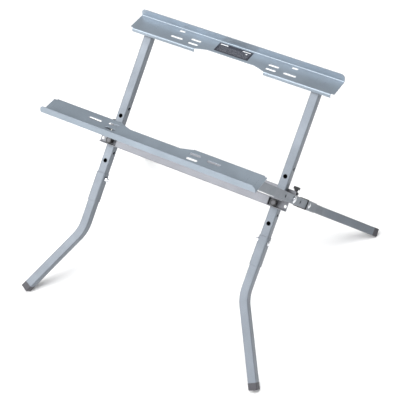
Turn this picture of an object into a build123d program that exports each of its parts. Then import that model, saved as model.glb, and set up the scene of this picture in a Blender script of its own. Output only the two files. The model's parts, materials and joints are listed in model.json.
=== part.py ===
from build123d import *
import math
import os

# Folding saw stand. Two tube frames cross at a pivot like a pair of scissors. The rear frame has the
# inner legs and the rear tray, the front frame has the outer legs and the front tray.
# X runs along the trays, Y to the rear, Z up. The origin is on the floor, below the middle of the pivot.

# ---------------------------------------------------------------- driving dimensions, millimetres, degrees
tube = 25.4                 # outside of the square leg tube
tube_wall = 1.6
tube_corner = 2.6           # outer corner radius of the leg tube
half_angle = 43.0           # each open frame leans this far from the vertical
leg_gap = 4.0               # between an inner and an outer leg

bed_rise = 237.6            # pivot to the top of the tray bed
tray_length = 648.0
tray_beyond_legs = 15.1     # the tray ends this far outside the outer legs
leg_from_near_edge = 32.6   # near edge of the bed to the middle of the leg, at the top of the bed
bed_depth = 62.4            # near edge of the bed to the inside of the lip
sheet = 1.6                 # tray sheet thickness
bend_inside = 2.4           # inside radius of the tray's bends
lip_height = 22.2           # lip above the bed
lip_corner = 12.0           # rounding of the lip's two upper corners
flange_drop = 10.8          # bed to the lower edge of the down flange
flange_overhang = 6.0       # the flange's face stands this far in front of the bed's free edge
flange_end_inset = 9.0      # tray end to flange end
relief_half_top = 110.0     # half length of the gap between the two flanges
relief_half_bottom = 76.0
relief_depth = 9.0          # how far the middle of the bed is set back
slot_width = 8.0
# each slot as a distance from the middle, a distance from the near edge, and an overall length
slots = [(180.0, 50.5, 19.0), (180.0, 17.9, 39.0), (123.8, 31.8, 32.0), (123.8, 13.3, 31.5)]

label_length = 107.8
label_width = 39.2
label_x = -5.4
label_to_bend = 3.6         # label to the start of the lip's bend
label_thickness = 0.3

face_hole_radius = 6.1
face_holes = [51.5, -84.8]  # along the leg from the pivot, in the wall that the lock screw meets
side_hole_radius = 4.7
side_holes = [77.1, -57.7]  # in the side walls

sleeve_top = 121.0          # pivot to the upper end of the sleeve
sleeve_length = 86.0
sleeve_wall = 1.4
sleeve_fit = 0.2            # between the sleeve and the tube on each side
sleeve_bolt_from_top = 16.3
tube_joint_from_top = 43.0  # sleeve's upper end to the joint of the two tubes inside it
tube_joint_gap = 0.5
guard_wall = 2.4            # plastic guard at the mouth of an outer leg's sleeve
guard_length = 3.0
guard_fit = 0.1             # between the guard and the tube
guard_tongue = 50.0         # the guard's tongue runs this far up the leg's underside
guard_tongue_wall = 1.8
guard_tongue_width = 20.0

bend_distance = 298.7       # pivot to the corner point of the bend
bend_radius = 110.0         # on the tube's centre line
splay_angle = 27.5
splay_length = 255.1        # corner point of the bend to the end of the foot cap
cap_length = 20.0
cap_proud = 0.3             # the cap stands this far out from the tube on each side
cap_spigot = 16.0
cap_fit = 0.1
cap_round = 1.8
foot_flat = 4.0             # height cut off the cap's lowest corner

member_depth = 10.0         # cross tube and brackets, across the leg's face
member_height = 25.4        # cross tube and brackets, along the leg
member_start = 12.6         # pivot to the near side of the cross tube, along the leg
member_gap = 0.3            # between a leg's face and the member that stops against it
member_wall = 1.5
member_corner = 2.0
bracket_wall = 2.0
bracket_beyond_outer = 6.3  # the bracket ends this far outside the middle of the outer leg
bracket_before_inner = 19.8  # and starts this far inside the middle of the inner leg
bracket_corner = 5.0
bracket_bend = 2.5          # inside radius of the bracket's two bends
weld_nut_radius = 7.5
weld_nut_height = 3.6

screw_radius = 4.0
screw_hole_fit = 0.3        # between the screw and the holes that it passes through
screw_thread_fit = 0.08     # between the screw and its weld nut
screw_tip_gap = 0.35        # between the screw's tip, backed out, and the leg
screw_travel = 5.0          # four turns of a 1.25 mm thread
knob_radius = 9.4
knob_thickness = 7.6
knob_lobes = 6
knob_lobe_depth = 1.1       # depth of the hollows between the knob's lobes
knob_hollow_radius = 4.5
knob_edge = 1.0
knob_collar_radius = 5.6
knob_clearance = 0.5        # between the knob and the bracket, and its collar and the weld nut, when home
knob_cap_radius = 5.9
knob_cap_recess = 1.6
knob_cap_below = 0.4        # the cap's face lies this far below the knob's rim
knob_cap_fit = 0.05

bolt_radius = 4.0           # sleeve bolts
bolt_hole_fit = 0.2
bolt_head_radius = 7.6
bolt_head_height = 4.4
nut_across = 13.0
nut_height = 6.5
nut_fit = 0.05
nut_thread_out = 5.0        # thread showing past a sleeve nut

pivot_radius = 5.0
pivot_hole_fit = 0.2
pivot_running_fit = 0.05    # between the pivot bolt and its bush
pivot_bush_wall = 2.0
pivot_side_play = 0.3       # between parts of the two frames along the pivot
pivot_head_radius = 9.0
pivot_head_height = 4.2
pivot_head_washer = 1.0
pivot_washer_radius = 10.5
pivot_nut_across = 16.0
pivot_nut_height = 8.0
pivot_thread_out = 1.5

# ---------------------------------------------------------------- sizes worked out from those
half_tube = tube / 2
bore = tube - 2 * tube_wall
outer_leg_x = tray_length / 2 - tray_beyond_legs - half_tube
inner_leg_x = outer_leg_x - tube - leg_gap
sleeve_outside = tube + 2 * (sleeve_fit + sleeve_wall)
sleeve_bolt = sleeve_top + sleeve_bolt_from_top
tube_joint = sleeve_top + tube_joint_from_top
cap_outside = tube + 2 * cap_proud
tray_half = tray_length / 2
tray_near_y = bed_rise * math.tan(math.radians(half_angle)) - leg_from_near_edge
flange_face_y = tray_near_y - flange_overhang
outer_bend = bend_inside + sheet
lip_inside_y = tray_near_y + bed_depth
member_near_face = half_tube + member_gap
member_middle = member_start + member_height / 2
weld_nut_top = member_near_face + bracket_wall + weld_nut_height
knob_head_rise = member_gap + member_depth + screw_travel + knob_clearance
knob_collar_height = half_tube + knob_head_rise - screw_travel - weld_nut_top - knob_clearance
bracket_end_x = outer_leg_x + bracket_beyond_outer
bracket_start_x = inner_leg_x - bracket_before_inner
clear_cut = 60.0            # how far a cutting solid runs past what it cuts

lean = math.radians(half_angle)
splay = math.radians(splay_angle)
foot_drop = (bend_distance + splay_length * math.cos(splay)) * math.cos(lean)
corner_drop = cap_outside / 2 * (math.cos(lean) * math.sin(splay) + math.sin(lean))
pivot_height = foot_drop + corner_drop - foot_flat
bed_z = pivot_height + bed_rise

# A leg is drawn upright, with the pivot at the origin and the face that its lock screw meets towards -Y.
# This leans it back, as the rear frame stands. The front frame is the mirror image of that.
leaned = Pos(0, 0, pivot_height) * Rot(-half_angle, 0, 0)


def to_front(shape):
    """Mirror a part of the rear half to the front half."""
    return mirror(shape, about=Plane.XZ)


def to_left(shape):
    """Mirror a part of the right side to the left side."""
    return mirror(shape, about=Plane.YZ)


def cylinder_x(radius, start, end, along=0.0, across=0.0):
    """A cylinder along X from start to end, at a height along the leg."""
    middle = (start + end) / 2
    return Pos(middle, across, along) * Rot(0, 90, 0) * Cylinder(radius, abs(end - start))


def cylinder_y(radius, start, end, x=0.0, along=0.0):
    """A cylinder along Y from start to end."""
    middle = (start + end) / 2
    return Pos(x, middle, along) * Rot(90, 0, 0) * Cylinder(radius, abs(end - start))


def span_box(x_range, y_range, z_range):
    """A box given by its two ends along each axis."""
    size = [high - low for low, high in (x_range, y_range, z_range)]
    middle = [(high + low) / 2 for low, high in (x_range, y_range, z_range)]
    return Pos(*middle) * Box(*size)


def hex_nut_x(across, bore_radius, start, end, along=0.0):
    """A plain hexagon nut on an axis along X, with its edges broken by a cone."""
    middle = (start + end) / 2
    length = abs(end - start)
    corner_radius = across / 2 / math.cos(math.pi / 6)
    blank = extrude(RegularPolygon(corner_radius, 6), length / 2, both=True)
    chamfer_length = (corner_radius - across / 2) * 0.9
    turned = chamfer(Cylinder(corner_radius, length).edges(), chamfer_length * 0.6, chamfer_length)
    body = (blank & turned) - Cylinder(bore_radius, length * 2)
    return Pos(middle, 0, along) * Rot(0, 90, 0) * body


def domed_head(radius, height, shank_x, direction, along=0.0):
    """A low domed bolt head that stands on the plane x = shank_x and points along direction."""
    rim = height * 0.25
    dome = height - rim
    sphere_radius = (radius ** 2 + dome ** 2) / (2 * dome)
    ball = Pos(0, 0, height - sphere_radius) * Sphere(sphere_radius)
    head = ball & (Pos(0, 0, height / 2) * Cylinder(radius, height))
    turn = 90 if direction > 0 else -90
    return Pos(shank_x, 0, along) * Rot(0, turn, 0) * head


def square_section(outside, corner):
    """A rounded square, the section of a leg tube."""
    return RectangleRounded(outside, outside, corner)


# ---------------------------------------------------------------- trays
def tray_profile():
    """Section of the rear tray in the YZ plane: down flange, bed and upright lip."""
    flange_back = flange_face_y + sheet
    lip_outside = lip_inside_y + sheet
    points = [
        (flange_face_y, bed_z - flange_drop),
        (flange_face_y, bed_z),
        (lip_inside_y, bed_z),
        (lip_inside_y, bed_z + lip_height),
        (lip_outside, bed_z + lip_height),
        (lip_outside, bed_z - sheet),
        (flange_back, bed_z - sheet),
        (flange_back, bed_z - flange_drop),
    ]
    section = Face(Wire.make_polygon([(0, y, z) for y, z in points], close=True))
    for corner, radius in ((1, outer_bend), (6, bend_inside), (2, bend_inside), (5, outer_bend)):
        y, z = points[corner]
        spot = Vector(0, y, z)
        vertex = min(section.vertices(), key=lambda v: (Vector(v) - spot).length)
        section = section.fillet_2d(radius, [vertex])
    return section


def slot_cutter(x, near, length):
    """A slot through the bed, long way along X."""
    shape = extrude(SlotOverall(length, slot_width), clear_cut / 2, both=True)
    return Pos(x, tray_near_y + near, bed_z) * shape


def rear_tray():
    """The rear tray, pressed from one sheet."""
    tray = extrude(tray_profile(), tray_half, dir=(1, 0, 0), both=True)
    below = bed_z - flange_drop - 1
    above = bed_z + 1
    for side in (-1, 1):
        end_x = sorted((side * (tray_half - flange_end_inset), side * (tray_half + 1)))
        tray -= span_box(end_x, (flange_face_y - 1, tray_near_y), (below, above))
        for x, near, length in slots:
            tray -= slot_cutter(side * x, near, length)
    relief_points = [
        (-relief_half_top, flange_face_y - 1),
        (-relief_half_top, flange_face_y + outer_bend),
        (-relief_half_bottom, tray_near_y + relief_depth),
        (relief_half_bottom, tray_near_y + relief_depth),
        (relief_half_top, flange_face_y + outer_bend),
        (relief_half_top, flange_face_y - 1),
    ]
    relief = make_face(Polyline(*relief_points, close=True))
    tray -= Pos(0, 0, below) * extrude(relief, above - below)
    lip_top = bed_z + lip_height
    upper_ends = [
        edge for edge in tray.edges()
        if abs(abs(edge.center().X) - tray_half) < 0.1 and abs(edge.center().Z - lip_top) < 0.1
    ]
    return fillet(upper_ends, lip_corner)


def label():
    """The thin label plate on the rear tray's bed."""
    shape = extrude(RectangleRounded(label_length, label_width, 2.0), label_thickness)
    far_edge = lip_inside_y - bend_inside - label_to_bend
    return Pos(label_x, far_edge - label_width / 2, bed_z) * shape


# ---------------------------------------------------------------- legs
def upper_leg(leg_x, pivot_hole_radius):
    """One right upper leg of the rear half, cut to fit under the tray."""
    top = (bed_rise + tube) / math.cos(lean)
    length = top + tube_joint
    outside = extrude(square_section(tube, tube_corner), length)
    inside = extrude(square_section(bore, tube_corner - tube_wall), length)
    leg = Pos(leg_x, 0, -tube_joint) * (outside - inside)
    left = leg_x - half_tube - 1
    right = leg_x + half_tube + 1
    leg -= cylinder_x(pivot_hole_radius, left, right)
    leg -= cylinder_x(bolt_radius + bolt_hole_fit, left, right, -sleeve_bolt)
    for along in side_holes:
        leg -= cylinder_x(side_hole_radius, left, right, along)
    for along in face_holes:
        leg -= cylinder_y(face_hole_radius, -half_tube - 1, 0, leg_x, along)
    leg -= cylinder_y(screw_radius + screw_hole_fit, -half_tube - 1, 0, leg_x, -member_middle)
    wide = (leg_x - tube, leg_x + tube)
    under_bed = bed_z - sheet
    return leaned * leg - span_box(wide, (0, 4 * lip_inside_y), (under_bed, under_bed + 10 * tube))


def splayed(shape):
    """Place a shape drawn down -Z from the origin on the splayed part of a leg."""
    return Pos(0, 0, -bend_distance) * Rot(0, -splay_angle, 0) * shape


def lower_leg(leg_x):
    """One right lower leg: a square tube, bent outwards."""
    start = -tube_joint - tube_joint_gap
    reach = splay_length - cap_length
    end = (reach * math.sin(splay), 0, -bend_distance - reach * math.cos(splay))
    path = FilletPolyline((0, 0, start), (0, 0, -bend_distance), end, radius=bend_radius)
    mouth = Plane(origin=(0, 0, start), z_dir=(0, 0, -1))
    outside = sweep(mouth * square_section(tube, tube_corner), path=path)
    inside = sweep(mouth * square_section(bore, tube_corner - tube_wall), path=path)
    return leaned * Pos(leg_x, 0, 0) * (outside - inside)


def foot_cap(leg_x):
    """One right foot cap: a block the size of the tube, a spigot in its bore, a flat on the floor."""
    block = extrude(square_section(cap_outside, tube_corner), cap_length)
    end_edges = block.faces().sort_by(Axis.Z)[-1].edges()
    block = fillet(end_edges, cap_round)
    spigot_outside = bore - 2 * cap_fit
    spigot_corner = tube_corner - tube_wall
    spigot = Pos(0, 0, -cap_spigot) * extrude(square_section(spigot_outside, spigot_corner), cap_spigot)
    hollow = Pos(0, 0, -cap_spigot) * extrude(square_section(bore - 2 * tube_wall - 2, 1.0), cap_spigot)
    cap = block + (spigot - hollow)
    upside_down = Pos(0, 0, -(splay_length - cap_length)) * Rot(180, 0, 0) * cap
    cap = leaned * Pos(leg_x, 0, 0) * splayed(upside_down)
    far = 2 * (abs(leg_x) + splay_length + bend_distance)
    return cap - span_box((-far, far), (-far, far), (-clear_cut, 0))


def sleeve(leg_x):
    """One right sleeve, a short larger tube over the joint of upper and lower leg."""
    corner = tube_corner + sleeve_fit
    outside = extrude(square_section(sleeve_outside, corner + sleeve_wall), sleeve_length)
    rims = outside.faces().sort_by(Axis.Z)
    outside = chamfer(rims[0].edges() + rims[-1].edges(), sleeve_wall * 0.5)
    inside = extrude(square_section(tube + 2 * sleeve_fit, corner), sleeve_length)
    body = Pos(leg_x, 0, -sleeve_top - sleeve_length) * (outside - inside)
    reach = sleeve_outside
    body -= cylinder_x(bolt_radius + bolt_hole_fit, leg_x - reach, leg_x + reach, -sleeve_bolt)
    return leaned * body


def mouth_guard():
    """The right plastic guard: a U around the outer leg above its sleeve, with a tongue below the leg."""
    reach = half_tube + guard_wall
    inner_side = outer_leg_x - half_tube
    foot = -sleeve_top
    ring = span_box((inner_side, outer_leg_x + reach), (-reach, reach), (foot, foot + guard_length))
    ring = fillet(ring.edges().filter_by(Axis.Z).group_by(Axis.X)[-1], guard_wall)
    tongue_y = (half_tube, half_tube + guard_fit + guard_tongue_wall)
    tongue_x = (outer_leg_x - guard_tongue_width / 2, outer_leg_x + guard_tongue_width / 2)
    tongue = span_box(tongue_x, tongue_y, (foot, foot + guard_tongue))
    tongue = chamfer(tongue.faces().sort_by(Axis.Z)[-1].edges().sort_by(Axis.Y)[-1], guard_tongue_wall / 2)
    fit_outside = tube + 2 * guard_fit
    inside = extrude(square_section(fit_outside, tube_corner), guard_tongue + 2)
    around = Pos(outer_leg_x, 0, foot - 1) * inside
    return leaned * (ring + tongue - around)


def sleeve_bolt_right(leg_x):
    """The bolt across a right sleeve, with its head on the outside."""
    outer = leg_x + sleeve_outside / 2
    inner = leg_x - sleeve_outside / 2
    tip = inner - nut_height - nut_thread_out
    shank = cylinder_x(bolt_radius, tip, outer + bolt_head_height / 2, -sleeve_bolt)
    return leaned * (shank + domed_head(bolt_head_radius, bolt_head_height, outer, 1, -sleeve_bolt))


def sleeve_nut_right(leg_x):
    """The nut of that bolt, on the inside."""
    inner = leg_x - sleeve_outside / 2
    nut = hex_nut_x(nut_across, bolt_radius + nut_fit, inner - nut_height, inner, -sleeve_bolt)
    return leaned * nut


# ---------------------------------------------------------------- pivot
def pivot_bolt_right():
    """Bolt through both right legs: domed head outside the outer leg."""
    head_plane = outer_leg_x + half_tube + pivot_side_play + pivot_head_washer
    inner_face = inner_leg_x - half_tube
    tip = inner_face - pivot_nut_height - pivot_thread_out
    shank = cylinder_x(pivot_radius, tip, head_plane + pivot_head_height / 2)
    return leaned * (shank + domed_head(pivot_head_radius, pivot_head_height, head_plane, 1))


def ring_x(outer_radius, inner_radius, start, end):
    """A plain ring on the pivot's axis."""
    return cylinder_x(outer_radius, start, end) - cylinder_x(inner_radius, start - 1, end + 1)


def pivot_head_washer_right():
    """Washer under the head of the pivot bolt."""
    start = outer_leg_x + half_tube + pivot_side_play
    hole = pivot_radius + nut_fit
    return leaned * ring_x(pivot_washer_radius, hole, start, start + pivot_head_washer)


def pivot_spacer_right():
    """Spacing washer between the inner and the outer leg."""
    start = inner_leg_x + half_tube
    hole = pivot_radius + nut_fit
    return leaned * ring_x(pivot_washer_radius, hole, start, start + leg_gap - pivot_side_play)


def pivot_nut_right():
    """Nut of the pivot bolt, on the inside of the inner leg."""
    face = inner_leg_x - half_tube
    return leaned * hex_nut_x(pivot_nut_across, pivot_radius + nut_fit, face - pivot_nut_height, face)


def pivot_bush_right():
    """Bush pressed through both walls of the outer leg."""
    hole = pivot_radius + pivot_running_fit
    outside = pivot_radius + pivot_bush_wall
    return leaned * ring_x(outside, hole, outer_leg_x - half_tube, outer_leg_x + half_tube)


# ---------------------------------------------------------------- cross tube, brackets and locks
# The front cross tube and its brackets stand against the front faces of the inner legs, so they are
# drawn in the rear frame's lean. They belong to the front frame, under the outer legs.
def cross_tube():
    """The front cross tube, a flat tube between the two brackets."""
    outside = RectangleRounded(member_depth, member_height, member_corner)
    inside_depth = member_depth - 2 * member_wall
    inside_height = member_height - 2 * member_wall
    inside = RectangleRounded(inside_depth, inside_height, member_corner - member_wall + 0.2)
    section = Plane(origin=(0, 0, 0), x_dir=(0, 1, 0), z_dir=(1, 0, 0)) * (outside - inside)
    tube_solid = extrude(section, bracket_start_x, both=True)
    return leaned * Pos(0, -member_near_face - member_depth / 2, -member_middle) * tube_solid


def under_outer_leg():
    """The space that the outer legs take up, so that what hangs below them meets their undersides."""
    far = 2 * outer_leg_x
    return to_front(leaned * span_box((-far, far), (-clear_cut, half_tube), (-clear_cut, clear_cut)))


def bracket_right():
    """The right front bracket: a U channel, open to the front, with a hole at each leg."""
    back = -member_near_face
    front = back - member_depth
    far_side = -member_start - member_height
    near_side = -half_tube + bracket_wall
    outline = span_box((bracket_start_x, bracket_end_x), (front, back), (far_side, near_side))
    lower_bend = outline.edges().filter_by(Axis.X).group_by(Axis.Z)[0].sort_by(Axis.Y)[-1]
    outline = fillet(lower_bend, bracket_bend + bracket_wall)
    channel = span_box(
        (bracket_start_x - 1, bracket_end_x + 1),
        (front - bracket_bend, back - bracket_wall),
        (far_side + bracket_wall, -member_start - bracket_wall),
    )
    channel = fillet(channel.edges().filter_by(Axis.X), bracket_bend)
    free_corners = [
        edge for edge in outline.edges()
        if abs(edge.center().X - bracket_end_x) < 0.1 and abs(edge.center().Y - front) < 0.1
        and edge.length < member_height * 2 and abs(edge.tangent_at(0.5).Z) > 0.9
    ]
    body = fillet(free_corners, bracket_corner) - channel
    for leg_x in (inner_leg_x, outer_leg_x):
        body -= cylinder_y(screw_radius + screw_hole_fit, front, back + 1, leg_x, -member_middle)
    return leaned * body - under_outer_leg()


def weld_nut(leg_x):
    """The round weld nut on the bracket, in which a lock screw runs."""
    start = -member_near_face - bracket_wall
    end = start - weld_nut_height
    nut = cylinder_y(weld_nut_radius, start, end, leg_x, -member_middle)
    hole = cylinder_y(screw_radius + screw_thread_fit, start + 1, end - 1, leg_x, -member_middle)
    return leaned * (nut - hole)


def lock_screw(leg_x):
    """A lock screw, backed out: its tip is just clear of the leg."""
    tip = -half_tube - screw_tip_gap
    top = -half_tube - knob_head_rise - knob_thickness / 2
    screw = cylinder_y(screw_radius, tip, top, leg_x, -member_middle)
    tip_edge = screw.edges().filter_by(GeomType.CIRCLE).sort_by(Axis.Y)[-1]
    return leaned * chamfer(tip_edge, 0.8)


def at_knob(shape, leg_x):
    """Place a shape drawn upright on the underside of a knob's head."""
    return leaned * Pos(leg_x, -half_tube - knob_head_rise, -member_middle) * Rot(90, 0, 0) * shape


def standing_cylinder(radius, start, end):
    """A cylinder along Z from start to end."""
    return Pos(0, 0, (start + end) / 2) * Cylinder(radius, end - start)


def lock_knob(leg_x, turned):
    """The round knob on that screw, with hollows round its rim, turned by an angle."""
    head = standing_cylinder(knob_radius, 0, knob_thickness)
    hollow_from_axis = knob_radius + knob_hollow_radius - knob_lobe_depth
    for number in range(knob_lobes):
        hollow = Pos(hollow_from_axis, 0, 0) * standing_cylinder(knob_hollow_radius, -1, knob_thickness + 1)
        head -= Rot(0, 0, 360 / knob_lobes * number) * hollow
    rims = head.faces().filter_by(Axis.Z).sort_by(Axis.Z)
    head = chamfer(rims[0].edges() + rims[-1].edges(), knob_edge)
    head -= standing_cylinder(knob_cap_radius, knob_thickness - knob_cap_recess, knob_thickness + 1)
    body = head + standing_cylinder(knob_collar_radius, -knob_collar_height, 1)
    body -= standing_cylinder(screw_radius, -knob_collar_height - 1, knob_thickness / 2)
    return at_knob(Rot(0, 0, turned) * body, leg_x)


def lock_knob_cap(leg_x):
    """The cap in the recess of that knob, which covers the screw's head."""
    top = knob_thickness - knob_cap_below
    cap = standing_cylinder(knob_cap_radius - knob_cap_fit, knob_thickness - knob_cap_recess, top)
    return at_knob(chamfer(cap.edges().sort_by(Axis.Z)[-1], 0.3), leg_x)


# ---------------------------------------------------------------- writing the parts
def write(name, shape):
    """Write one node. A list of shapes becomes one node of separate solids."""
    solids = []
    for piece in shape if isinstance(shape, list) else [shape]:
        solids += list(piece.solids())
    whole = solids[0] if len(solids) == 1 else Compound(children=solids)
    export_step(whole, f"parts/{name}.step")


def write_pair(name, right_shape):
    """Write a right part and its mirror image as two nodes."""
    write(f"{name}_right", right_shape)
    write(f"{name}_left", to_left(right_shape))


def write_group(name, right_shape):
    """Write a right part and its mirror image as one node of two solids."""
    write(name, [right_shape, to_left(right_shape)])


os.makedirs("parts", exist_ok=True)

write("rear_tray", rear_tray())
write("front_tray", to_front(rear_tray()))
write("label_plate", label())

pivot_clear = pivot_radius + pivot_hole_fit
bush_outside = pivot_radius + pivot_bush_wall
write_pair("inner_upper_leg", upper_leg(inner_leg_x, pivot_clear))
write_pair("outer_upper_leg", to_front(upper_leg(outer_leg_x, bush_outside)))
for frame_name, leg_middle, place in (("inner", inner_leg_x, lambda s: s), ("outer", outer_leg_x, to_front)):
    write_pair(f"{frame_name}_lower_leg", place(lower_leg(leg_middle)))
    write_pair(f"{frame_name}_foot_cap", place(foot_cap(leg_middle)))
    write_pair(f"{frame_name}_sleeve", place(sleeve(leg_middle)))
    write_group(f"{frame_name}_sleeve_bolts", place(sleeve_bolt_right(leg_middle)))
    write_group(f"{frame_name}_sleeve_nuts", place(sleeve_nut_right(leg_middle)))

write_group("pivot_bolts", pivot_bolt_right())
write_group("pivot_head_washers", pivot_head_washer_right())
write_group("pivot_spacers", pivot_spacer_right())
write_group("pivot_nuts", pivot_nut_right())
write_group("pivot_bushes", to_front(pivot_bush_right()))
write_pair("outer_mouth_guard", to_front(mouth_guard()))

knob_turns = {"front_right": 8, "front_left": -6, "rear_right": 90, "rear_left": 35}
for end_name, screw_x, place in (("front", inner_leg_x, lambda s: s), ("rear", outer_leg_x, to_front)):
    write(f"{end_name}_cross_tube", place(cross_tube()))
    write_pair(f"{end_name}_bracket", place(bracket_right()))
    write_group(f"{end_name}_weld_nuts", place(weld_nut(screw_x)))
    for side_name, across in (("right", lambda s: s), ("left", to_left)):
        spot = f"{end_name}_{side_name}"
        write(f"lock_screw_{spot}", across(place(lock_screw(screw_x))))
        write(f"lock_knob_{spot}", across(place(lock_knob(screw_x, knob_turns[spot]))))
        write(f"lock_knob_cap_{spot}", across(place(lock_knob_cap(screw_x))))

print("pivot height", round(pivot_height, 2), "bed height", round(bed_z, 2))
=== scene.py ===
import json
import math

import bpy
from mathutils import Matrix, Vector


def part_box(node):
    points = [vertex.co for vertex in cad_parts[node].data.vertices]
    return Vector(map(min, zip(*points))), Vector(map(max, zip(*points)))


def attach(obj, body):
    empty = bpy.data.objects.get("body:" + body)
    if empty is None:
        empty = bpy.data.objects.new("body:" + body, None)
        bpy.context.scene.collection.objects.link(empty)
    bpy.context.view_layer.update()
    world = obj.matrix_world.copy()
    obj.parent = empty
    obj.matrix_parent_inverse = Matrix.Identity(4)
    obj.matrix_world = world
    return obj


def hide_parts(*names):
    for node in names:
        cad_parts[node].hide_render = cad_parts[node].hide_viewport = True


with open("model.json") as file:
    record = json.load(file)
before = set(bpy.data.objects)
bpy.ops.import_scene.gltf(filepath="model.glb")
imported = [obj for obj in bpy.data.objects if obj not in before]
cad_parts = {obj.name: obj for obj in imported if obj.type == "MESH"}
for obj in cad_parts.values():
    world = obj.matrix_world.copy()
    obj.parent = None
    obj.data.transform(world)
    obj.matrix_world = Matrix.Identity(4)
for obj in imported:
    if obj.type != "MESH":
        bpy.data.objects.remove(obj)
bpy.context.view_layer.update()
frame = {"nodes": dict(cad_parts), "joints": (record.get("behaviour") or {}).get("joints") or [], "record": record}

# Sizes that the looks need, in metres and radians. X runs along the trays, Y to the rear, Z up.
MM = 0.001
HALF_ANGLE = math.radians(43.0)     # each leg's lean from the vertical
TUBE = 25.4 * MM
HALF_TUBE = TUBE / 2
SHEET = 1.6 * MM
MEMBER_DEPTH = 10.0 * MM
MEMBER_GAP = 0.3 * MM               # between a leg and the cross tube that stops against it
BED_RISE = 237.6 * MM
SCREW_RADIUS = 4.0 * MM
SCREW_PITCH = 1.25 * MM
SCREW_ALONG = -25.3 * MM            # up the leg from the pivot, so the lock screws are below it
SCREW_TIP_GAP = 0.35 * MM           # between the screw's tip, backed out, and the leg
SCREW_TOP_RISE = 20.0 * MM          # from the leg's face to the screw's other end

fold = next(j for j in frame["joints"] if j["name"] == "fold")
pivot = Vector(fold["pos_m"])
bed_z = pivot.z + BED_RISE
inner_low, inner_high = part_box("inner_upper_leg_right")
outer_low, outer_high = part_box("outer_upper_leg_right")
inner_leg_x = (inner_low.x + inner_high.x) / 2
outer_leg_x = (outer_low.x + outer_high.x) / 2
bracket_low, bracket_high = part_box("front_bracket_right")


def on_leg(front, x, out, along):
    """A point on a leg: out from the leg's middle through its locked face, and up along it."""
    side = 1 if front else -1
    y = side * (out * math.cos(HALF_ANGLE) - along * math.sin(HALF_ANGLE))
    z = out * math.sin(HALF_ANGLE) + along * math.cos(HALF_ANGLE)
    return Vector((x, y, pivot.z + z))


# ---------------------------------------------------------------- material helpers
class Graph:
    """A material's node tree, with short calls for the nodes used here."""

    def __init__(self, name):
        self.material = bpy.data.materials.new(name)
        self.material.use_nodes = True
        self.nodes = self.material.node_tree.nodes
        self.links = self.material.node_tree.links
        self.shader = self.nodes["Principled BSDF"]
        self.place = self.nodes.new("ShaderNodeTexCoord").outputs["Object"]

    def link(self, source, target):
        self.links.new(source, target)

    def set(self, **values):
        for key, value in values.items():
            self.shader.inputs[key.replace("_", " ")].default_value = value

    def stretch(self, scale):
        """The object's coordinates, scaled differently along each axis."""
        node = self.nodes.new("ShaderNodeMapping")
        node.inputs["Scale"].default_value = scale
        self.link(self.place, node.inputs["Vector"])
        return node.outputs["Vector"]

    def noise(self, scale, detail=2.0, roughness=0.5, vector=None):
        node = self.nodes.new("ShaderNodeTexNoise")
        node.inputs["Scale"].default_value = scale
        node.inputs["Detail"].default_value = detail
        node.inputs["Roughness"].default_value = roughness
        self.link(vector or self.place, node.inputs["Vector"])
        return node.outputs["Fac"]

    def spread(self, value, low, high, to_low=0.0, to_high=1.0):
        """Map a value's range to another, clamped."""
        node = self.nodes.new("ShaderNodeMapRange")
        limits = {"From Min": low, "From Max": high, "To Min": to_low, "To Max": to_high}
        for key, number in limits.items():
            node.inputs[key].default_value = number
        self.link(value, node.inputs["Value"])
        return node.outputs["Result"]

    def math(self, operation, first, second=0.0):
        node = self.nodes.new("ShaderNodeMath")
        node.operation = operation
        for socket, value in zip(node.inputs, (first, second)):
            if isinstance(value, (int, float)):
                socket.default_value = value
            else:
                self.link(value, socket)
        return node.outputs["Value"]

    def mix(self, amount, first, second):
        """Mix two colours, each a tuple or a socket."""
        node = self.nodes.new("ShaderNodeMix")
        node.data_type = "RGBA"
        self.link(amount, node.inputs["Factor"])
        for socket, value in ((node.inputs["A"], first), (node.inputs["B"], second)):
            if isinstance(value, tuple):
                socket.default_value = (*value, 1.0)
            else:
                self.link(value, socket)
        return node.outputs["Result"]

    def rounded_edges(self, radius):
        """Normals that turn softly over sharp edges, and how far they turn, from 0 to 1."""
        bevel = self.nodes.new("ShaderNodeBevel")
        bevel.samples = 6
        bevel.inputs["Radius"].default_value = radius
        true_normal = self.nodes.new("ShaderNodeNewGeometry").outputs["True Normal"]
        dot = self.nodes.new("ShaderNodeVectorMath")
        dot.operation = "DOT_PRODUCT"
        self.link(bevel.outputs["Normal"], dot.inputs[0])
        self.link(true_normal, dot.inputs[1])
        turned = self.spread(dot.outputs["Value"], 0.98, 0.80)
        return bevel.outputs["Normal"], turned

    def shelter(self, distance):
        """How open a spot is, from 0 inside a tube or a deep corner to 1 on a free face."""
        node = self.nodes.new("ShaderNodeAmbientOcclusion")
        node.samples = 8
        node.inputs["Distance"].default_value = distance
        return node.outputs["AO"]

    def bump(self, height, distance, strength, normal=None):
        node = self.nodes.new("ShaderNodeBump")
        node.inputs["Distance"].default_value = distance
        node.inputs["Strength"].default_value = strength
        self.link(height, node.inputs["Height"])
        if normal is not None:
            self.link(normal, node.inputs["Normal"])
        self.link(node.outputs["Normal"], self.shader.inputs["Normal"])


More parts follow.
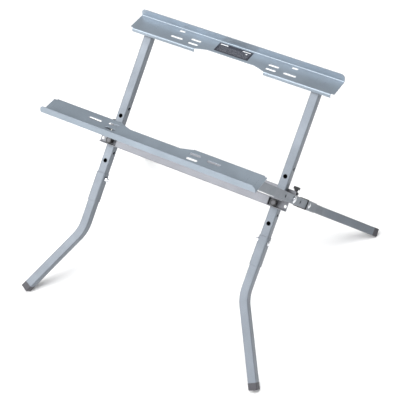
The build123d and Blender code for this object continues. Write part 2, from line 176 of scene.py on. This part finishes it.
def powder_coat(name, color, pale, metallic):
    """Satin powder coat: orange peel, speckle, mottling, painted shade on edges and painted shade in sheltered
    corners, between parts and inside tubes.
    """
    rough = 0.40
    # The last two are the shares of the colour kept for painted shade: along the edges, and in sheltered corners
    # and tube insides.
    mottle_shade, painted_edge_shade, painted_recess_shade = 0.88, 0.45, 0.08
    g = Graph(name)
    dark = tuple(c * mottle_shade for c in color)
    mottled = g.mix(g.spread(g.noise(7.0, 3.0), 0.35, 0.65), dark, color)
    speckle = g.spread(g.noise(2600.0, 1.0), 0.60, 0.78, 0.0, 0.35)
    flecked = g.mix(speckle, mottled, pale)
    # Painted shade along the edges: the colour darkens where the bevelled normal turns, broken up by noise.
    normal, turned = g.rounded_edges(0.7 * MM)
    painted_edge_shade_mask = g.math("MULTIPLY", turned, g.spread(g.noise(160.0, 3.0), 0.30, 0.62, 0.35, 0.75))
    edge_shaded = g.mix(painted_edge_shade_mask, flecked, tuple(c * painted_edge_shade for c in color))
    # Painted shade: the colour sinks towards a near-black copy of itself in corners, between parts and inside the
    # tubes, wherever the occlusion node finds the spot sheltered.
    open_air = g.spread(g.shelter(30 * MM), 0.18, 0.62)
    recess_shade_color = tuple(c * painted_recess_shade for c in color)
    g.link(g.mix(open_air, recess_shade_color, edge_shaded), g.shader.inputs["Base Color"])
    smears = g.noise(22.0, 4.0, 0.6)
    g.link(g.spread(smears, 0.3, 0.7, rough - 0.06, rough + 0.08), g.shader.inputs["Roughness"])
    g.set(Metallic=metallic, Specular_IOR_Level=0.5)
    g.bump(g.noise(900.0, 2.0), 0.05 * MM, 0.30, normal)
    return g.material


def zinc(name):
    """Bright zinc plate with faint turning marks and a dull bloom."""
    g = Graph(name)
    bloom = g.spread(g.noise(90.0, 4.0, 0.6), 0.35, 0.7)
    g.link(g.mix(bloom, (0.80, 0.81, 0.83), (0.60, 0.62, 0.66)), g.shader.inputs["Base Color"])
    g.link(g.spread(g.noise(260.0, 3.0), 0.3, 0.7, 0.20, 0.38), g.shader.inputs["Roughness"])
    g.set(Metallic=1.0)
    normal, _ = g.rounded_edges(0.4 * MM)
    marks = g.noise(60.0, 2.0, 0.5, g.stretch((30.0, 1.0, 1.0)))
    g.bump(marks, 0.03 * MM, 0.25, normal)
    return g.material


def moulded_plastic(name, color, pale, rough, edge=0.6 * MM):
    """Moulded plastic: spark-eroded grain, slight flow marks, greyer rubbed edges."""
    g = Graph(name)
    flow = g.spread(g.noise(35.0, 3.0), 0.35, 0.7)
    base = g.mix(flow, color, tuple(c * 1.25 for c in color))
    normal, turned = g.rounded_edges(edge)
    rubbed = g.math("MULTIPLY", turned, g.spread(g.noise(300.0, 2.0), 0.4, 0.65, 0.1, 0.6))
    g.link(g.mix(rubbed, base, pale), g.shader.inputs["Base Color"])
    roughness = g.spread(g.noise(500.0, 2.0), 0.3, 0.7, rough - 0.07, rough + 0.07)
    g.link(roughness, g.shader.inputs["Roughness"])
    g.set(Specular_IOR_Level=0.5)
    g.bump(g.noise(1800.0, 2.0), 0.04 * MM, 0.35, normal)
    return g.material


def printed_label(name, low, high):
    """Dark film with pale bars and rows of fine dashes. It holds no lettering."""
    g = Graph(name)
    split = g.nodes.new("ShaderNodeSeparateXYZ")
    g.link(g.place, split.inputs["Vector"])
    across = g.spread(split.outputs["X"], low.x, high.x)
    up = g.spread(split.outputs["Y"], low.y, high.y)

    def inside(value, start, end):
        past_start = g.math("GREATER_THAN", value, start)
        before_end = g.math("LESS_THAN", value, end)
        return g.math("MULTIPLY", past_start, before_end)

    def block(x_start, x_end, y_start, y_end):
        return g.math("MULTIPLY", inside(across, x_start, x_end), inside(up, y_start, y_end))

    rows = g.math("GREATER_THAN", g.math("FRACT", g.math("MULTIPLY", up, 13.0)), 0.52)
    words = g.spread(g.noise(60.0, 3.0, 0.6, g.stretch((6.0, 24.0, 1.0))), 0.47, 0.53)
    text_area = block(0.06, 0.94, 0.10, 0.72)
    dashes = g.math("MULTIPLY", g.math("MULTIPLY", rows, words), text_area)
    grain = g.spread(g.noise(400.0, 2.0), 0.35, 0.65)
    film = g.mix(grain, (0.018, 0.019, 0.028), (0.030, 0.032, 0.042))
    printed = g.mix(g.math("MULTIPLY", dashes, 0.55), film, (0.30, 0.31, 0.34))
    for bounds in ((0.05, 0.27, 0.80, 0.90), (0.70, 0.93, 0.80, 0.88), (0.83, 0.87, 0.58, 0.68)):
        printed = g.mix(block(*bounds), printed, (0.62, 0.63, 0.65))
    g.link(printed, g.shader.inputs["Base Color"])
    g.link(g.spread(g.noise(120.0, 2.0), 0.3, 0.7, 0.38, 0.50), g.shader.inputs["Roughness"])
    g.set(Specular_IOR_Level=0.35)
    g.bump(g.noise(1500.0, 1.0), 0.01 * MM, 0.2)
    return g.material


def pale_floor(name):
    """Smooth pale studio floor."""
    g = Graph(name)
    shade = g.mix(g.noise(1.5, 2.0), (0.84, 0.84, 0.84), (0.86, 0.86, 0.86))
    g.link(shade, g.shader.inputs["Base Color"])
    g.link(g.spread(g.noise(8.0, 2.0), 0.3, 0.7, 0.75, 0.85), g.shader.inputs["Roughness"])
    g.set(Specular_IOR_Level=0.1)
    return g.material


label_low, label_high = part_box("label_plate")
materials = {
    "tray_paint": powder_coat("tray_powder_coat", (0.275, 0.322, 0.372), (0.46, 0.50, 0.56), 0.60),
    "leg_paint": powder_coat("leg_powder_coat", (0.138, 0.158, 0.184), (0.33, 0.36, 0.40), 0.30),
    "member_paint": powder_coat(
        "member_powder_coat", (0.155, 0.160, 0.178), (0.36, 0.37, 0.39), 0.30
    ),
    "black_steel": moulded_plastic(
        "black_zinc", (0.016, 0.016, 0.018), (0.07, 0.07, 0.075), 0.34, 0.3 * MM
    ),
    # Paler than the knob plastic: this grey on the caps' top faces is partly painted light, standing in for the
    # light that falls on the knobs' tops.
    "knob_cap_plastic": moulded_plastic(
        "knob_cap_plastic", (0.050, 0.050, 0.058), (0.12, 0.12, 0.13), 0.40, 0.3 * MM
    ),
    "zinc": zinc("zinc_plate"),
    "foot_plastic": moulded_plastic("foot_cap_plastic", (0.034, 0.033, 0.040), (0.12, 0.12, 0.13), 0.55),
    "knob_plastic": moulded_plastic("knob_plastic", (0.008, 0.008, 0.009), (0.022, 0.022, 0.022), 0.42),
    "bush_plastic": moulded_plastic("bush_nylon", (0.62, 0.61, 0.57), (0.7, 0.7, 0.68), 0.40),
    "label": printed_label("label_film", label_low, label_high),
}


def finish_cad_nodes():
    """Give each CAD node the material of its slot."""
    for subpart in frame["record"]["subparts"]:
        node = frame["nodes"][subpart["node"]]
        for material_slot in node.material_slots:
            material_slot.material = materials[subpart["material_slot"]]


def finish_piece(piece, body, slot_name):
    """Give a new piece its material, its slot and the body that it rides on."""
    piece.data.materials.append(materials[slot_name])
    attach(piece, body)
    return piece


def mesh_piece(name, vertices, faces):
    """A new smooth-shaded mesh object from plain lists."""
    mesh = bpy.data.meshes.new(name)
    mesh.from_pydata(vertices, [], faces)
    mesh.validate()
    mesh.update()
    mesh.shade_smooth()
    piece = bpy.data.objects.new(name, mesh)
    bpy.context.scene.collection.objects.link(piece)
    return piece


def ring_mesh(name, rings):
    """A closed skin over a list of rings of points, with a fan over each end."""
    count = len(rings[0])
    vertices = [point for ring in rings for point in ring]
    faces = []
    for i in range(len(rings) - 1):
        for j in range(count):
            k = (j + 1) % count
            this, after = i * count, (i + 1) * count
            faces.append((this + j, this + k, after + k, after + j))
    for ring_start, turn in ((0, -1), ((len(rings) - 1) * count, 1)):
        corners = list(range(ring_start, ring_start + count))
        faces.append(tuple(corners[::turn]))
    return mesh_piece(name, vertices, faces)


# ---------------------------------------------------------------- weld beads
def weld_bead(name, body, slot_name, start, end, radius=1.5 * MM):
    """A straight weld bead with the ripples that the welder's steps leave."""
    start, end = Vector(start), Vector(end)
    along = end - start
    length = along.length
    along.normalize()
    across = along.orthogonal().normalized()
    other = along.cross(across)
    ripple = 2.2 * MM
    step = ripple / 5
    count = 10
    end_share = 0.25                # of the full radius, at each end
    taper_length = 1.6 * radius
    ripple_rise, sway_rise, sway_rate = 0.14, 0.05, 700
    rings = []
    steps = max(8, int(length / step))
    for i in range(steps + 1):
        travelled = length * i / steps
        end_taper = min(1.0, end_share + min(travelled, length - travelled) / taper_length)
        rippled = ripple_rise * abs(math.sin(math.pi * travelled / ripple))
        swell = 1 + rippled + sway_rise * math.sin(travelled * sway_rate)
        r = radius * end_taper * swell
        middle = start + along * travelled
        ring = []
        for j in range(count):
            angle = 2 * math.pi * j / count
            ring.append(middle + (across * math.cos(angle) + other * math.sin(angle)) * r)
        rings.append(ring)
    return finish_piece(ring_mesh(name, rings), body, slot_name)


def tray_welds(front, body, leg_x, side_name):
    """Beads where a leg's cut top meets the underside of the tray."""
    side = -1 if front else 1
    top_z = bed_z - SHEET
    middle_y = BED_RISE * math.tan(HALF_ANGLE)
    half_y = HALF_TUBE / math.cos(HALF_ANGLE)
    end_inset = 1 * MM
    corner_room = 3 * MM
    near_y = middle_y - half_y + end_inset
    far_y = middle_y + half_y - end_inset
    side_inset = 1.5 * MM
    far_left = Vector((leg_x - HALF_TUBE + side_inset, side * far_y, top_z))
    far_right = Vector((leg_x + HALF_TUBE - side_inset, side * far_y, top_z))
    weld_bead(f"tray_weld_far_{side_name}", body, "leg_paint", far_left, far_right)
    for edge_name, edge_x in (("a", leg_x - HALF_TUBE), ("b", leg_x + HALF_TUBE)):
        start = Vector((edge_x, side * near_y, top_z))
        end = Vector((edge_x, side * (far_y - corner_room), top_z))
        weld_bead(f"tray_weld_{edge_name}_{side_name}", body, "leg_paint", start, end)


def bracket_welds(front, body, side, side_name):
    """Beads that hold a bracket to the leg above it and to the end of its cross tube."""
    back_out = HALF_TUBE + MEMBER_GAP
    front_out = back_out + MEMBER_DEPTH
    leg_middle = outer_leg_x if front else inner_leg_x
    inset = 2 * MM
    start_x = side * (leg_middle - HALF_TUBE + inset)
    end_x = side * min(leg_middle + HALF_TUBE - inset, bracket_high.x - inset)
    bead_along = -HALF_TUBE + 1.1 * MM
    bead_out = front_out + 0.2 * MM
    bead_radius = 1.2 * MM
    start = on_leg(not front, start_x, bead_out, bead_along)
    end = on_leg(not front, end_x, bead_out, bead_along)
    weld_bead(f"bracket_weld_{side_name}", body, "member_paint", start, end, bead_radius)
    seam_x = side * bracket_low.x
    seam_out = front_out - 0.3 * MM
    seam_top, seam_bottom = -15.0 * MM, -35.6 * MM
    seam_radius = 0.8 * MM
    seam_start = on_leg(not front, seam_x, seam_out, seam_top)
    seam_end = on_leg(not front, seam_x, seam_out, seam_bottom)
    weld_bead(f"tube_weld_{side_name}", body, "member_paint", seam_start, seam_end, seam_radius)


def all_welds():
    for side, name in ((1, "right"), (-1, "left")):
        tray_welds(False, "rear_frame", side * inner_leg_x, f"rear_{name}")
        tray_welds(True, "front_frame", side * outer_leg_x, f"front_{name}")
        bracket_welds(True, "front_frame", side, f"front_{name}")
        bracket_welds(False, "rear_frame", side, f"rear_{name}")


# ---------------------------------------------------------------- threads
def threaded_rod(name, body, slot_name, start, end, radius, pitch):
    """A rod with a real helical thread, chamfered at its start and uncut at its very end."""
    start, end = Vector(start), Vector(end)
    along = end - start
    length = along.length
    along.normalize()
    across = along.orthogonal().normalized()
    other = along.cross(across)
    count = 24
    rings_per_turn = 5
    steps = int(length / (pitch / rings_per_turn))
    depth = 0.12 * pitch + 0.25 * MM
    tip_share = 0.72                # of the full radius, at the chamfered start
    rings = []
    for i in range(steps + 1):
        travelled = length * i / steps
        lead_in = min(1.0, tip_share + travelled / (3 * pitch))
        ring = []
        for j in range(count):
            turn = j / count
            phase = (travelled / pitch - turn) % 1.0
            groove = abs(2 * phase - 1)
            cut = depth * groove if travelled < length else 0.0
            r = (radius - cut) * lead_in
            angle = 2 * math.pi * turn
            outward = across * math.cos(angle) + other * math.sin(angle)
            ring.append(start + along * travelled + outward * r)
        rings.append(ring)
    return finish_piece(ring_mesh(name, rings), body, slot_name)


def lock_screws():
    """Each lock screw, with its thread, in place of the plain CAD one."""
    tip_out = HALF_TUBE + SCREW_TIP_GAP
    top_out = HALF_TUBE + SCREW_TOP_RISE
    for end_name, front_leg, leg_x in (("front", False, inner_leg_x), ("rear", True, outer_leg_x)):
        for side, side_name in ((1, "right"), (-1, "left")):
            spot = f"{end_name}_{side_name}"
            tip = on_leg(front_leg, side * leg_x, tip_out, SCREW_ALONG)
            top = on_leg(front_leg, side * leg_x, top_out, SCREW_ALONG)
            screw = threaded_rod(
                f"thread_{spot}", f"{spot}_screw", "black_steel", tip, top, SCREW_RADIUS, SCREW_PITCH
            )
            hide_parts(f"lock_screw_{spot}")


# ---------------------------------------------------------------- studio
def studio():
    """Plain pale floor, a dim white world and large soft lights."""
    floor_half = 14.0
    corners = [(x, y, 0.0) for x, y in ((-1, -1), (1, -1), (1, 1), (-1, 1))]
    vertices = [(x * floor_half, y * floor_half, z) for x, y, z in corners]
    floor = mesh_piece("floor", vertices, [(0, 1, 2, 3)])
    floor.data.materials.append(pale_floor("studio_floor"))

    world = bpy.data.worlds.new("studio")
    bpy.context.scene.world = world
    world.use_nodes = True
    background = world.node_tree.nodes["Background"]
    background.inputs["Color"].default_value = (0.97, 0.98, 1.0, 1.0)
    background.inputs["Strength"].default_value = 0.22

    soft_light("key_light", (-2.4, -3.2, 3.0), (3.6, 3.6), 250.0)
    soft_light("top_light", (0.3, -0.9, 4.4), (2.6, 2.6), 205.0)
    soft_light("side_light", (2.9, -1.9, 1.7), (2.0, 2.0), 52.0)


def soft_light(name, place, size, power):
    """A large area light that looks at the middle of the object."""
    data = bpy.data.lights.new(name, "AREA")
    data.shape = "RECTANGLE"
    data.size, data.size_y = size
    data.energy = power
    light = bpy.data.objects.new(name, data)
    target = Vector((0.0, 0.0, 0.35))
    light.location = Vector(place)
    light.rotation_euler = (target - light.location).to_track_quat("-Z", "Y").to_euler()
    bpy.context.scene.collection.objects.link(light)


def camera():
    """A long lens, high at the front right."""
    azimuth, elevation, roll = (math.radians(a) for a in (31.68, 43.38, -1.75))
    distance = 3.642
    target = pivot + Vector((0.0085, 0.0, -0.1397))
    data = bpy.data.cameras.new("camera")
    data.sensor_width = 36.0
    data.lens = 113.74
    data.clip_end = 60.0
    view = bpy.data.objects.new("camera", data)
    turn = (
        Matrix.Rotation(azimuth, 4, "Z")
        @ Matrix.Rotation(math.pi / 2 - elevation, 4, "X")
        @ Matrix.Rotation(roll, 4, "Z")
    )
    backward = turn @ Vector((0.0, 0.0, 1.0))
    view.matrix_world = Matrix.Translation(target + backward * distance) @ turn
    bpy.context.scene.collection.objects.link(view)
    bpy.context.scene.camera = view


camera()
studio()
finish_cad_nodes()
all_welds()
lock_screws()

bpy.context.scene.view_settings.view_transform = "Standard"

bpy.context.view_layer.update()
